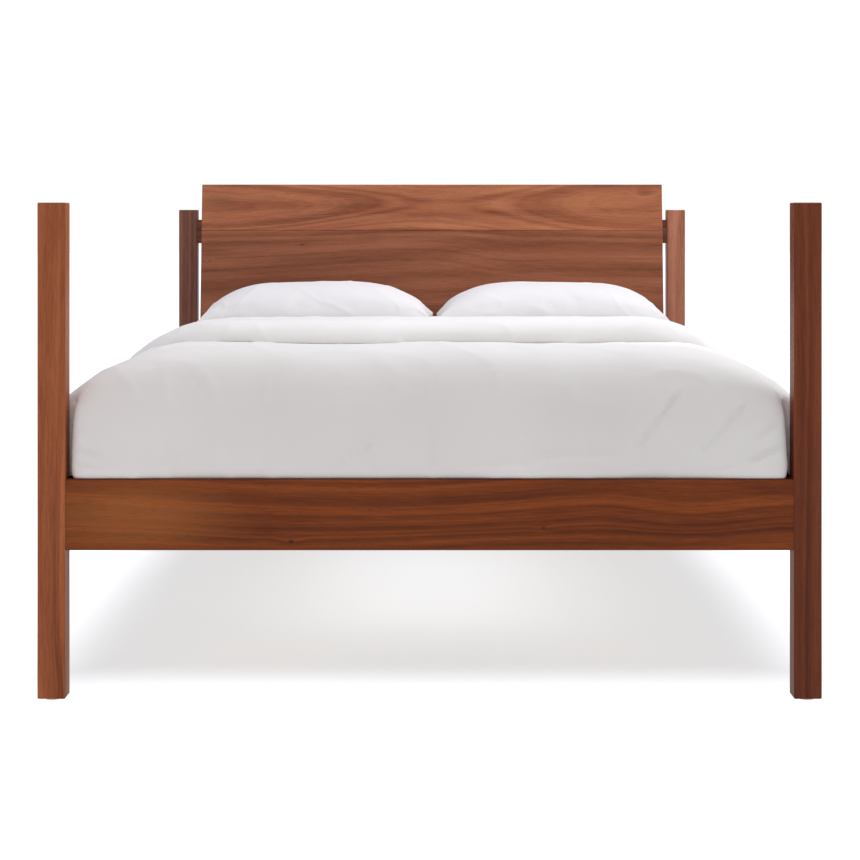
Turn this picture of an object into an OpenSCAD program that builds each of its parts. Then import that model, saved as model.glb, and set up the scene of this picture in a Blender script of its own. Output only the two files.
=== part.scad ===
// Four-post platform bed with a floating headboard that leans back, made up with
// its mattress, fitted sheet, duvet and two pillows.
// X runs across the bed, Y from the foot (-Y) to the head (+Y), Z up from the floor.
// The origin is on the floor under the middle of the bed. Millimetres.

/* [Mattress and its room] */
// Width of the mattress
mattress_w = 1520; // [900:10:2000]
// Length of the mattress
mattress_l = 2020; // [1650:10:2450]
// Thickness of the mattress
mattress_h = 280; // [180:5:340]
// Free gap between the mattress and each side rail
side_gap = 26; // [15:1:40]
// Free gap between the mattress and the foot rail, where the duvet is tucked
foot_gap = 18; // [15:1:30]
// Free gap between the mattress and the headboard, level with the mattress top
head_gap = 16; // [12:1:40]

/* [Posts] */
// Width of each post, across the bed
post_w = 60; // [52:1:90]
// Depth of each post, along the bed
post_d = 50; // [50:1:80]
// Height of the posts above the floor
post_h = 1070; // [890:5:1400]
// Width of the planed-off edge on every board and post
edge_ease = 2; // [1:0.5:4]

/* [Rails and crossbars] */
// Height of the underside of the rails above the floor
rail_z = 322; // [265:1:400]
// Height of the rails
rail_h = 152; // [125:1:190]
// Thickness of the rails and crossbars
rail_t = 28; // [24:1:34]
// How far the rails stand back from the faces of the posts
rail_inset = 3; // [1:1:6]
// Height of the two crossbars
crossbar_h = 78; // [60:1:100]
// How far the top of the upper crossbar is below the tops of the posts
crossbar_drop = 33; // [20:1:60]
// Height of the underside of the lower crossbar above the floor
lower_crossbar_z = 590; // [520:5:620]
// Length of the tenons
tenon_l = 40; // [30:1:42]
// Thickness of the tenons
tenon_t = 18; // [14:1:20]
// Shoulder above and below each tenon
tenon_shoulder = 10; // [6:1:14]
// Clearance round a tenon or a dowel
fit_gap = 0.25; // [0.1:0.05:0.5]

/* [Headboard] */
// Free gap between each side edge of the headboard and the post beside it
headboard_side_gap = 21; // [10:1:60]
// Thickness of the headboard boards
headboard_t = 24; // [20:1:30]
// How far the top edge of the headboard stands above the posts
headboard_rise = 84; // [40:1:140]
// Height of the bottom edge of the headboard above the floor
headboard_z = 600; // [520:5:620]
// Height of the upper board, measured along its face
upper_board_h = 153; // [120:1:185]
// Angle that the headboard leans back from upright
headboard_lean = 6.4; // [2:0.1:9]
// Depth of the battens behind the headboard, level with the middle of the upper crossbar
batten_depth = 26; // [24:1:40]
// Width of the battens
batten_w = 45; // [30:1:70]
// How far the battens reach above the upper crossbar
batten_reach = 45; // [20:1:55]
// Distance of the outer battens from the side edges of the headboard
batten_margin = 242; // [100:2:260]
// Diameter of the dowels between the two boards
dowel_d = 10; // [6:1:12]
// Length of the dowels between the two boards
dowel_l = 60; // [40:2:80]
// Number of dowels between two neighbouring battens
dowel_bay_n = 2; // [1:1:3]

/* [Slats and centre beam] */
// Number of slats
slat_n = 15; // [12:1:17]
// Width of each slat
slat_w = 70; // [50:1:84]
// Thickness of each slat
slat_t = 19; // [15:1:23]
// Height of the slat tops above the underside of the rails
slat_rise = 58; // [56:1:66]
// Free gap between a slat end and the side rail
slat_gap = 2; // [1:0.5:4]
// Distance from the ends of the mattress to the first and last slat
slat_setback = 11; // [8:1:40]
// Depth of the slat ledges, across the bed
ledge_w = 25; // [20:1:30]
// Height of the slat ledges
ledge_h = 32; // [26:1:34]
// Width of the steel centre beam
beam_w = 60; // [40:1:80]
// Height of the steel centre beam
beam_h = 32; // [26:1:34]
// Wall of the steel centre beam
beam_wall = 2; // [1.5:0.5:3]
// Thickness of the beam brackets
bracket_t = 2.5; // [2:0.5:3]
// Length of the pocket in each beam bracket
bracket_l = 40; // [30:1:60]
// Width of the fixing ear on each side of a beam bracket
bracket_ear = 26; // [22:1:40]

/* [Fittings] */
// Height of the hook and slot plates
plate_h = 100; // [90:1:104]
// Width of the hook and slot plates
plate_w = 16; // [14:1:20]
// Thickness of the hook and slot plates
plate_t = 3; // [2:0.5:3]
// How far the hooks reach into the post
hook_reach = 12; // [10:1:13]
// Shank diameter of the wood screws
screw_d = 4; // [3:0.5:4.5]
// Head diameter of the wood screws
screw_head_d = 8; // [7:0.5:9]
// Head height of the wood screws
screw_head_h = 2.5; // [2:0.5:3]
// Height that the nylon glides lift the posts off the floor
glide_t = 3; // [2:0.5:6]
// Diameter of the nylon glides
glide_d = 38; // [28:1:44]

/* [Bedding] */
// Thickness of the fitted sheet
sheet_t = 2; // [1:0.5:3]
// Thickness of the duvet over the middle of the bed
duvet_t = 55; // [40:1:70]
// Extra height of the duvet where it is turned back and where it rolls over the foot
duvet_swell = 43; // [20:1:50]
// Width of the tucked and hanging parts of the duvet
duvet_drop_t = 40; // [25:1:50]
// Height of the duvet's side hems above the floor
duvet_hem_z = 330; // [300:5:420]
// Distance from the headboard end of the mattress to the turned-back edge of the duvet
duvet_back = 525; // [515:5:620]
// Length of the turned-back part of the duvet
duvet_fold_l = 600; // [300:10:700]
// Distance of each pillow's outer end from the side of the mattress
pillow_side_gap = 21; // [0:1:60]
// Depth of each pillow, along the bed
pillow_l = 500; // [400:5:505]
// Thickness of each pillow at its middle
pillow_h = 176; // [120:2:200]

/* [Hidden] */
$fn = 48;

// Across the bed
rail_in_x = mattress_w / 2 + side_gap;
post_in_x = rail_in_x - rail_inset;
headboard_w = 2 * (post_in_x - headboard_side_gap);
batten_x = headboard_w / 2 - batten_margin;

// Heights
slat_top_z = rail_z + slat_rise;
ledge_top_z = slat_top_z - slat_t;
mattress_top_z = slat_top_z + mattress_h;
sheet_top_z = mattress_top_z + sheet_t;
upper_crossbar_z = post_h - crossbar_drop - crossbar_h;
upper_crossbar_mid_z = upper_crossbar_z + crossbar_h / 2;
headboard_top_z = post_h + headboard_rise;

// Along the bed. The back of the headboard passes batten_depth in front of the crossbar.
headboard_slope = tan(headboard_lean);
function behind_panel(z) = batten_depth - rail_inset + (upper_crossbar_mid_z - z) * headboard_slope;
panel_reach = behind_panel(mattress_top_z) + headboard_t / cos(headboard_lean);
overall_l = rail_inset + rail_t + foot_gap + mattress_l + head_gap + panel_reach + post_d;
post_in_y = overall_l / 2 - post_d;
rail_in_y = overall_l / 2 - rail_inset - rail_t;
crossbar_y = post_in_y + rail_inset;
mattress_foot_y = -rail_in_y + foot_gap;
mattress_head_y = mattress_foot_y + mattress_l;
function panel_back_y(z) = post_in_y - behind_panel(z);

// Headboard, measured along its slope from its bottom edge
panel_h = (headboard_top_z - headboard_z - headboard_t * sin(headboard_lean)) / cos(headboard_lean);
lower_board_h = panel_h - upper_board_h;

// Slats
slat_pitch = (mattress_l - 2 * slat_setback - slat_w) / (slat_n - 1);
slat_half_l = rail_in_x - slat_gap;
slat_screw_x = rail_in_x - ledge_w / 2;
slat_screw_l = slat_t + 13;
function slat_y(i) = mattress_foot_y + slat_setback + slat_w / 2 + (i - 1) * slat_pitch;
function slat_name(i) = str("slat_", i < 10 ? "0" : "", i);

// Ledge screws, each midway between two slats
ledge_screw_step = 2;
ledge_screw_l = 40;
ledge_screw_sink = 5;
ledge_screw_z = ledge_top_z - ledge_h / 2;
ledge_end_gap = 4;

// Fittings at the ends of the side rails
plate_x = rail_in_x + rail_t / 2;
plate_z = rail_z + rail_h / 2;
hook_t = 3;
hook_h = 20;
hook_drop = 6;
hook_pitch = 50;
slot_gap = 0.5;
head_sink = 0.3;
tenon_clear = 1.2;
plate_screw_l = post_d - rail_inset - (rail_t + tenon_t) / 2 - screw_head_h - head_sink - tenon_clear;
plate_screw_pitch = plate_h - 14;

// Screws behind the headboard
batten_screw_l = 30;
batten_screw_bite = 15;
batten_glue_t = 0.03;
batten_screw_z = [headboard_z + 112, headboard_z + 232, upper_crossbar_z - 40,
    upper_crossbar_z + crossbar_h + 26];
crossbar_screw_d = 6;
crossbar_screw_head_d = 12;
crossbar_screw_l = 45;
crossbar_screw_sink = 6;

// Centre beam and its brackets
beam_end_gap = 4;
beam_side_gap = 0.5;
beam_z = ledge_top_z - beam_h;
bracket_half_w = beam_w / 2 + beam_side_gap + bracket_t;
bracket_screw_l = 20;
bracket_screw_z = beam_z + beam_h / 2;

glide_stem_d = 6;
glide_stem_l = 22;

// Bedding
rail_to_duvet = 10;
body_gap = 0.5;
duvet_out_x = rail_in_x + rail_t + rail_to_duvet + duvet_drop_t;
duvet_in_x = duvet_out_x - duvet_drop_t;
duvet_flat_z = sheet_top_z + duvet_t;
duvet_top_z = duvet_flat_z + duvet_swell;
duvet_shoulder_z = sheet_top_z - 160;
duvet_flat_reach = 226;
duvet_fold_reach = 320;
duvet_in_reach = 200;
duvet_tuck_t = 12;
duvet_tuck_z = slat_top_z + 20;
duvet_over_rail = 10;
duvet_bulge = 32;
post_to_duvet = 8;
duvet_head_y = mattress_head_y - duvet_back;
duvet_fold_y = duvet_head_y - duvet_fold_l;
duvet_roll_l = 260;
pillow_mid_gap = 6;
pillow_w = (mattress_w - pillow_mid_gap) / 2 - pillow_side_gap;
pillow_head_gap = 14;
mattress_corner_r = 50;

walnut = "#8a5232";
walnut_dark = "#6d3f26";
walnut_light = "#95603c";
poplar = "#c9a777";
steel = "#9a9da1";
white_cloth = "#f1f1ef";

// ---- Shared shapes ----

// Rectangle a by b with its corners planed off at 45 degrees
module eased_outline(a, b, ease = edge_ease) {
    polygon([[ease, 0], [a - ease, 0], [a, ease], [a, b - ease],
        [a - ease, b], [ease, b], [0, b - ease], [0, ease]]);
}

// Stands an outline drawn in Y and Z up and draws it out along X, from x0 to x1
module along_x(x0, x1) {
    translate([x0, 0, 0]) rotate([90, 0, 90]) linear_extrude(x1 - x0) children();
}

// Stands an outline drawn in X and Z up and draws it out along Y, from y0 to y1
module along_y(y0, y1) {
    translate([0, y1, 0]) rotate([90, 0, 0]) linear_extrude(y1 - y0) children();
}

// Board with all twelve edges eased, one corner at the origin
module board(size) {
    intersection() {
        linear_extrude(size.z) eased_outline(size.x, size.y);
        along_x(0, size.x) eased_outline(size.y, size.z);
        along_y(0, size.y) eased_outline(size.x, size.z);
    }
}

// Wood screw that points along -Z, its head resting at z = 0, drawn larger by gap for its hole
module screw(length, gap = 0, d = screw_d, head_d = screw_head_d, head_h = screw_head_h) {
    translate([0, 0, -length]) cylinder(d = d + 2 * gap, h = length + 0.01);
    cylinder(d = head_d + 2 * gap, h = head_h + 4 * gap);
}

// Turns a piece that points along -Z so that it points along +Y, -Y, or outwards along +X
module point_to_head() { rotate([90, 0, 0]) children(); }
module point_to_foot() { rotate([-90, 0, 0]) children(); }
module point_out() { rotate([0, -90, 0]) children(); }

// Repeats a piece drawn at +X on the -X side too
module both_sides() {
    for (side = [0, 1]) mirror([side, 0, 0]) children();
}

// Repeats a piece drawn at the head end at the foot end too
module both_ends() {
    for (end = [0, 1]) mirror([0, end, 0]) children();
}

// Tenon, or its mortise when gap is more than 0, on the +X end of a bar
module tenon(y, z, height, gap = 0) {
    root = gap > 0 ? 1 : 5;
    length = tenon_l + root + (gap > 0 ? 2 : 0);
    translate([post_in_x - root, y + (rail_t - tenon_t) / 2 - gap, z + tenon_shoulder - gap])
        cube([length, tenon_t + 2 * gap, height - 2 * tenon_shoulder + 2 * gap]);
}

// Bar between two posts, with a tenon on each end
module tenoned_bar(y, z, height) {
    union() {
        along_x(-post_in_x, post_in_x) translate([y, z]) eased_outline(rail_t, height);
        both_sides() tenon(y, z, height);
    }
}

// ---- Fittings at the side rails ----

// Two hooks that reach through the slots into a post and catch behind them
module hooks(gap = 0) {
    for (up = [-0.5, 0.5])
        translate([0, 0, plate_z + up * hook_pitch])
            along_x(plate_x - hook_t / 2 - gap, plate_x + hook_t / 2 + gap)
                polygon([[post_in_y - plate_t / 2, hook_h / 2 + gap],
                    [post_in_y + hook_reach + gap, hook_h / 2 + gap],
                    [post_in_y + hook_reach + gap, -hook_h / 2 - gap],
                    [post_in_y + plate_t + 1 - gap, -hook_h / 2 - gap],
                    [post_in_y + plate_t + 1 - gap, hook_drop - hook_h / 2 - gap],
                    [post_in_y - plate_t / 2, hook_drop - hook_h / 2 - gap]]);
}

// Flat plate let into the end of a rail (into = -1) or the face of a post (into = 1)
module plate(into) {
    y = into > 0 ? post_in_y : post_in_y - plate_t;
    translate([plate_x - plate_w / 2, y, plate_z - plate_h / 2]) cube([plate_w, plate_t, plate_h]);
}

// The two screws of a plate, pointing into the rail (into = -1) or the post (into = 1)
module plate_screw_pair(into, gap = 0) {
    for (up = [-0.5, 0.5])
        translate([plate_x, post_in_y + into * (screw_head_h + head_sink), plate_z + up * plate_screw_pitch])
            if (into > 0) point_to_head() screw(plate_screw_l, gap);
            else point_to_foot() screw(plate_screw_l, gap);
}

module rail_hook_plates() {
    color(steel) both_sides() both_ends() difference() {
        union() {
            plate(-1);
            hooks();
        }
        plate_screw_pair(-1, fit_gap);
    }
}

module post_slot_plates() {
    color(steel) both_sides() both_ends() difference() {
        plate(1);
        plate_screw_pair(1, fit_gap);
        for (up = [-0.5, 0.5])
            translate([plate_x - hook_t / 2 - slot_gap, post_in_y - 1,
                    plate_z + up * hook_pitch - hook_h / 2 - slot_gap])
                cube([hook_t + 2 * slot_gap, plate_t + 2, hook_h + 2 * slot_gap]);
    }
}

module plate_screws() {
    color(steel) both_sides() both_ends() for (into = [-1, 1]) plate_screw_pair(into);
}

// ---- Posts ----

// What both kinds of post share, drawn at the head end on the +X side
module post_blank() {
    pocket_w = hook_t + 4;
    pocket_h = hook_pitch + hook_h + 4;
    difference() {
        translate([post_in_x, post_in_y, glide_t]) board([post_w, post_d, post_h - glide_t]);
        tenon(rail_in_y, rail_z, rail_h, fit_gap);
        plate(1);
        plate_screw_pair(1, fit_gap);
        translate([plate_x - pocket_w / 2, post_in_y - 1, plate_z - pocket_h / 2])
            cube([pocket_w, hook_reach + 3, pocket_h]);
        translate([post_in_x + post_w / 2, post_in_y + post_d / 2, 0])
            cylinder(d = glide_stem_d + 2 * fit_gap, h = glide_t + glide_stem_l + 2);
    }
}

module foot_post_right() { color(walnut) mirror([0, 1, 0]) post_blank(); }
module foot_post_left() { mirror([1, 0, 0]) foot_post_right(); }

module head_post_right() {
    color(walnut_dark) difference() {
        post_blank();
        tenon(crossbar_y, upper_crossbar_z, crossbar_h, fit_gap);
        tenon(crossbar_y, lower_crossbar_z, crossbar_h, fit_gap);
    }
}
module head_post_left() { mirror([1, 0, 0]) head_post_right(); }

// Nylon glide with a stem, drawn under the head post on the +X side
module glide() {
    color("#d8d4cb") translate([post_in_x + post_w / 2, post_in_y + post_d / 2, 0]) {
        cylinder(d = glide_d, h = glide_t);
        cylinder(d = glide_stem_d, h = glide_t + glide_stem_l);
    }
}
module glide_head_right() { glide(); }
module glide_head_left() { mirror([1, 0, 0]) glide(); }
module glide_foot_right() { mirror([0, 1, 0]) glide(); }
module glide_foot_left() { mirror([1, 0, 0]) glide_foot_right(); }

// ---- Rails and crossbars ----

module foot_rail() {
    color(walnut) difference() {
        mirror([0, 1, 0]) tenoned_bar(rail_in_y, rail_z, rail_h);
        mirror([0, 1, 0]) bracket_screw_set(fit_gap);
    }
}

module head_rail() {
    color(walnut_dark) difference() {
        tenoned_bar(rail_in_y, rail_z, rail_h);
        bracket_screw_set(fit_gap);
    }
}

module side_rail_right() {
    color(walnut) difference() {
        translate([rail_in_x, 0, rail_z]) along_y(-post_in_y, post_in_y) eased_outline(rail_t, rail_h);
        both_ends() plate(-1);
        both_ends() plate_screw_pair(-1, fit_gap);
        ledge_screw_row(fit_gap);
    }
}
module side_rail_left() { mirror([1, 0, 0]) side_rail_right(); }

// Screws through a crossbar into the three battens
module crossbar_screw_row(z, gap = 0) {
    for (x = [-batten_x, 0, batten_x])
        translate([x, crossbar_y + rail_t - crossbar_screw_sink, z + crossbar_h / 2])
            point_to_foot() screw(crossbar_screw_l, gap, crossbar_screw_d, crossbar_screw_head_d,
                crossbar_screw_sink - 1);
}

module crossbar(z) {
    color(walnut_dark) difference() {
        tenoned_bar(crossbar_y, z, crossbar_h);
        crossbar_screw_row(z, fit_gap);
    }
}
module upper_crossbar() { crossbar(upper_crossbar_z); }
module lower_crossbar() { crossbar(lower_crossbar_z); }

module crossbar_screws() {
    color(steel) {
        crossbar_screw_row(upper_crossbar_z);
        crossbar_screw_row(lower_crossbar_z);
    }
}

// ---- Headboard ----

// Places what is drawn with its back on Y = 0 and its bottom edge on Z = 0 on the leaning panel
module on_panel() {
    translate([0, panel_back_y(headboard_z), headboard_z]) rotate([-headboard_lean, 0, 0]) children();
}

// Dowels across the joint between the two boards, clear of the battens' screws
module dowel_row(gap = 0) {
    inner = [for (i = [1:dowel_bay_n]) batten_x * i / (dowel_bay_n + 1)];
    for (side = [-1, 1], x = concat(inner, [headboard_w / 2 - batten_margin / 2]))
        translate([side * x, -headboard_t / 2, lower_board_h - dowel_l / 2 - gap])
            cylinder(d = dowel_d + 2 * gap, h = dowel_l + 2 * gap);
}

// Screws through the battens into the panel, all at one height
module batten_screw_row(z, gap = 0) {
    for (x = [-batten_x, 0, batten_x])
        translate([x, panel_back_y(z) - batten_screw_bite + batten_screw_l, z])
            point_to_foot() screw(batten_screw_l, gap);
}
module batten_screw_set(gap = 0) {
    for (z = batten_screw_z) batten_screw_row(z, gap);
}

module headboard_board(z, height) {
    difference() {
        on_panel() translate([-headboard_w / 2, -headboard_t, z]) board([headboard_w, headboard_t, height]);
        on_panel() dowel_row(fit_gap);
        batten_screw_set(fit_gap);
    }
}
module headboard_lower_board() { color(walnut) headboard_board(0, lower_board_h); }
module headboard_upper_board() { color(walnut_light) headboard_board(lower_board_h, upper_board_h); }
module headboard_dowels() { color(poplar) on_panel() dowel_row(); }
module batten_screws() { color(steel) batten_screw_set(); }

// Tapered batten: upright at the back, leaning with the panel at the front
module batten(x) {
    bottom = lower_crossbar_z + tenon_shoulder * 2;
    top = upper_crossbar_z + crossbar_h + batten_reach;
    color(walnut_dark) difference() {
        along_x(x - batten_w / 2, x + batten_w / 2)
            polygon([[crossbar_y, bottom], [crossbar_y, top],
                [panel_back_y(top) + batten_glue_t, top], [panel_back_y(bottom) + batten_glue_t, bottom]]);
        for (z = [upper_crossbar_z, lower_crossbar_z]) crossbar_screw_row(z, fit_gap);
        for (z = batten_screw_z) {
            batten_screw_row(z, fit_gap);
            // Counterbore for the screw head, from the back of the batten
            translate([x, panel_back_y(z) - batten_screw_bite + batten_screw_l, z])
                rotate([-90, 0, 0]) cylinder(d = screw_head_d + 2, h = 80);
        }
    }
}
module batten_left() { batten(-batten_x); }
module batten_centre() { batten(0); }
module batten_right() { batten(batten_x); }

// ---- Slats, ledges and centre beam ----

// Screws through the +X ledge into its side rail
module ledge_screw_row(gap = 0) {
    for (i = [1:ledge_screw_step:slat_n - 1])
        translate([rail_in_x - ledge_w + ledge_screw_sink, slat_y(i + 0.5), ledge_screw_z])
            point_out() screw(ledge_screw_l, gap);
}

// Screws through the +X ends of the slats into the ledge
module slat_screw_row(gap = 0) {
    for (i = [1:slat_n])
        translate([slat_screw_x, slat_y(i), slat_top_z - screw_head_h]) screw(slat_screw_l - screw_head_h, gap);
}

module slat_ledge_right() {
    color(poplar) difference() {
        translate([rail_in_x - ledge_w, 0, ledge_top_z - ledge_h])
            along_y(ledge_end_gap - post_in_y, post_in_y - ledge_end_gap) eased_outline(ledge_w, ledge_h);
        ledge_screw_row(fit_gap);
        for (i = [1:ledge_screw_step:slat_n - 1])
            translate([rail_in_x - ledge_w - 1, slat_y(i + 0.5), ledge_screw_z])
                rotate([0, 90, 0]) cylinder(d = screw_head_d + 2, h = ledge_screw_sink + 1);
        slat_screw_row(fit_gap);
    }
}
module slat_ledge_left() { mirror([1, 0, 0]) slat_ledge_right(); }
module ledge_screws() { color(steel) both_sides() ledge_screw_row(); }

module slat(i) {
    color(poplar) difference() {
        translate([-slat_half_l, slat_y(i) - slat_w / 2, ledge_top_z]) board([2 * slat_half_l, slat_w, slat_t]);
        both_sides() translate([slat_screw_x, slat_y(i), slat_top_z - screw_head_h])
            screw(slat_screw_l - screw_head_h, fit_gap);
    }
}
module slat_screws() { color(steel) both_sides() slat_screw_row(); }

// Square steel tube from the foot rail to the head rail, under the slats
module centre_beam() {
    half_l = rail_in_y - bracket_t - beam_end_gap;
    color(steel) translate([-beam_w / 2, -half_l, beam_z]) difference() {
        cube([beam_w, 2 * half_l, beam_h]);
        translate([beam_wall, -1, beam_wall])
            cube([beam_w - 2 * beam_wall, 2 * half_l + 2, beam_h - 2 * beam_wall]);
    }
}

// Screws of the head bracket, pointing into the head rail
module bracket_screw_set(gap = 0) {
    for (side = [-1, 1], up = [-0.5, 0.5])
        translate([side * (bracket_half_w + bracket_ear / 2), rail_in_y - bracket_t,
                bracket_screw_z + up * beam_h / 2])
            point_to_head() screw(bracket_screw_l, gap);
}

// Saddle of folded steel that the end of the beam drops into, drawn at the head end
module beam_bracket_head() {
    y = rail_in_y - bracket_l;
    z = beam_z - bracket_t;
    color(steel) difference() {
        union() {
            translate([-bracket_half_w - bracket_ear, rail_in_y - bracket_t, z])
                cube([2 * (bracket_half_w + bracket_ear), bracket_t, beam_h + bracket_t]);
            translate([-bracket_half_w, y, z]) cube([2 * bracket_half_w, bracket_l, bracket_t]);
            for (side = [-1, 1])
                translate([side * (bracket_half_w - bracket_t / 2) - bracket_t / 2, y, z])
                    cube([bracket_t, bracket_l, beam_h + bracket_t]);
        }
        bracket_screw_set(fit_gap);
    }
}
module beam_bracket_foot() { mirror([0, 1, 0]) beam_bracket_head(); }
module bracket_screws() { color(steel) both_ends() bracket_screw_set(); }

// ---- Bedding ----

// Outline of the mattress seen from above, larger by grow on every side
module mattress_outline(grow = 0) {
    w = mattress_w + 2 * grow;
    l = mattress_l + 2 * grow;
    r = mattress_corner_r + grow;
    translate([-w / 2, mattress_foot_y - grow]) {
        translate([r, 0]) square([w - 2 * r, l]);
        translate([0, r]) square([w, l - 2 * r]);
        for (x = [r, w - r], y = [r, l - r]) translate([x, y]) circle(r);
    }
}

module mattress() {
    color(white_cloth) translate([0, 0, slat_top_z]) linear_extrude(mattress_h) mattress_outline();
}

// Fitted sheet over the top and sides of the mattress
module fitted_sheet() {
    color(white_cloth) difference() {
        translate([0, 0, slat_top_z + 10]) linear_extrude(sheet_top_z - slat_top_z - 10) mattress_outline(sheet_t);
        linear_extrude(mattress_top_z) mattress_outline();
    }
}

// Arch over the bed, seen from its foot: straight sides, and shoulders that are
// quarters of an ellipse, reach wide
module arch(half_w, reach, bottom, top) {
    right = [for (t = [0:6:90]) [half_w - reach + reach * cos(t),
        duvet_shoulder_z + (top - duvet_shoulder_z) * sin(t)]];
    left = [for (i = [len(right) - 1:-1:0]) [-right[i].x, right[i].y]];
    polygon(concat([[half_w, bottom]], right, left, [[-half_w, bottom]]));
}

// Lengthwise section of the part that rolls over the foot and is tucked in behind the foot rail
module foot_roll_section() {
    y = mattress_foot_y - sheet_t;
    clear_z = rail_z + rail_h + duvet_over_rail;
    half = (duvet_roll_l + duvet_bulge) / 2;
    roll = [for (t = [0:9:180])
        [y - duvet_bulge + half - half * cos(t), sheet_top_z + (duvet_top_z - sheet_top_z) * sin(t)]];
    polygon(concat([[y, duvet_tuck_z], [y - duvet_tuck_t, duvet_tuck_z], [y - duvet_tuck_t, clear_z],
        [y - duvet_bulge, clear_z + duvet_bulge]], roll, [[y, sheet_top_z]]));
}

module duvet() {
    foot_y = post_to_duvet - post_in_y;
    foot_half_w = post_in_x - 2 * post_to_duvet;
    color(white_cloth) difference() {
        union() {
            along_y(foot_y, duvet_head_y) arch(duvet_out_x, duvet_flat_reach, duvet_hem_z, duvet_flat_z);
            along_y(duvet_fold_y, duvet_head_y) arch(duvet_out_x, duvet_fold_reach, duvet_hem_z, duvet_top_z);
            intersection() {
                along_x(-foot_half_w, foot_half_w) foot_roll_section();
                along_y(-overall_l / 2, 0) arch(duvet_out_x, duvet_fold_reach, slat_top_z, duvet_top_z);
            }
        }
        along_y(foot_y - 1, duvet_head_y + 1) arch(duvet_in_x, duvet_in_reach, duvet_hem_z - 1, sheet_top_z);
        translate([0, 0, slat_top_z]) linear_extrude(sheet_top_z - slat_top_z) mattress_outline(sheet_t);
    }
}

// Pillow: crowned in both directions, with its long side across the bed, on the +X side
module pillow() {
    r = 70;
    x0 = pillow_mid_gap / 2;
    y0 = mattress_head_y - pillow_head_gap - pillow_l;
    edge = 0.45;
    function crown(w) = [for (i = [0:16]) let (t = i / 16 * 180)
        [w * i / 16, pillow_h * (edge + (1 - edge) * pow(sin(t), 0.6))]];
    translate([x0, y0, sheet_top_z + body_gap]) intersection() {
        linear_extrude(pillow_h) {
            translate([r, 0]) square([pillow_w - 2 * r, pillow_l]);
            translate([0, r]) square([pillow_w, pillow_l - 2 * r]);
            for (x = [r, pillow_w - r], y = [r, pillow_l - r]) translate([x, y]) circle(r);
        }
        along_x(0, pillow_w) polygon(concat([[pillow_l, 0], [0, 0]], crown(pillow_l)));
        along_y(0, pillow_l) polygon(concat([[pillow_w, 0], [0, 0]], crown(pillow_w)));
    }
}
module pillow_right() { color(white_cloth) pillow(); }
module pillow_left() { color(white_cloth) mirror([1, 0, 0]) pillow(); }

foot_post_left();
foot_post_right();
head_post_left();
head_post_right();
foot_rail();
head_rail();
side_rail_left();
side_rail_right();
upper_crossbar();
lower_crossbar();
headboard_upper_board();
headboard_lower_board();
headboard_dowels();
batten_left();
batten_centre();
batten_right();
batten_screws();
crossbar_screws();
slat_ledge_left();
slat_ledge_right();
ledge_screws();
for (i = [1:slat_n])
    slat(i);
slat_screws();
centre_beam();
beam_bracket_foot();
beam_bracket_head();
bracket_screws();
rail_hook_plates();
post_slot_plates();
plate_screws();
glide_foot_left();
glide_foot_right();
glide_head_left();
glide_head_right();
mattress();
fitted_sheet();
duvet();
pillow_left();
pillow_right();
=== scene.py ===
# Looks of the four-post walnut bed: the joinery's timber and fittings get their
# finishes, and the mattress, sheet, duvet and pillows get their real soft shapes.
# Metres, X across the bed, Y from foot to head, Z up from the floor.
import math

import bpy
import numpy as np
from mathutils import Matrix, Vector, noise


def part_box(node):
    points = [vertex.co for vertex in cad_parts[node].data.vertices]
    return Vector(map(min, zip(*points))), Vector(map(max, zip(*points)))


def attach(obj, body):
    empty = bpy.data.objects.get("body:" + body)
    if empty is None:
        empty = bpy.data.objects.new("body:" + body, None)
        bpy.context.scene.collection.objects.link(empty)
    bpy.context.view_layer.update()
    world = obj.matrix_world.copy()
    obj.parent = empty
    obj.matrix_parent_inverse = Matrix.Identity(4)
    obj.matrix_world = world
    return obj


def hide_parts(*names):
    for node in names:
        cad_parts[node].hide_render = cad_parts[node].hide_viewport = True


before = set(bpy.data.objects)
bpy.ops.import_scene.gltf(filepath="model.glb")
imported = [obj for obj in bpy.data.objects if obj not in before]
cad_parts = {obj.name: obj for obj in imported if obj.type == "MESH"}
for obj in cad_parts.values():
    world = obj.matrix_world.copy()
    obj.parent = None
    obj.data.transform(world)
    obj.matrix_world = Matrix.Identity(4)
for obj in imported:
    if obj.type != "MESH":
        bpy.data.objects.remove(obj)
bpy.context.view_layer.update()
scene = bpy.context.scene
scene.view_settings.view_transform = "Standard"


# ---- Camera, floor and light ----

bpy.ops.object.select_all(action="DESELECT")
bpy.ops.object.camera_add(location=(0.0147, -5.052, 1.0256), rotation=(math.radians(90), 0, 0))
camera = bpy.context.object
camera.data.lens = 76.81
camera.data.sensor_width = 36
camera.data.shift_x = -0.0075
camera.data.shift_y = -0.2405
camera.data.clip_end = 200
scene.camera = camera


def linear(hex_colour):
    """sRGB hex to the linear colour that the shaders take."""
    parts = [int(hex_colour[i:i + 2], 16) / 255 for i in (1, 3, 5)]
    return [p / 12.92 if p <= 0.04045 else ((p + 0.055) / 1.055) ** 2.4 for p in parts] + [1.0]


def put(tree, kind, links=None, values=None, **settings):
    """Adds one node to a tree, with its settings, socket values and incoming links."""
    node = tree.nodes.new("ShaderNode" + kind)
    for name, value in settings.items():
        setattr(node, name, value)
    for socket, value in (values or {}).items():
        node.inputs[socket].default_value = value
    for socket, output in (links or {}).items():
        tree.links.new(output, node.inputs[socket])
    return node


def new_material(name):
    material = bpy.data.materials.new(name)
    material.use_nodes = True
    material.node_tree.nodes.clear()
    return material, material.node_tree


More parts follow.
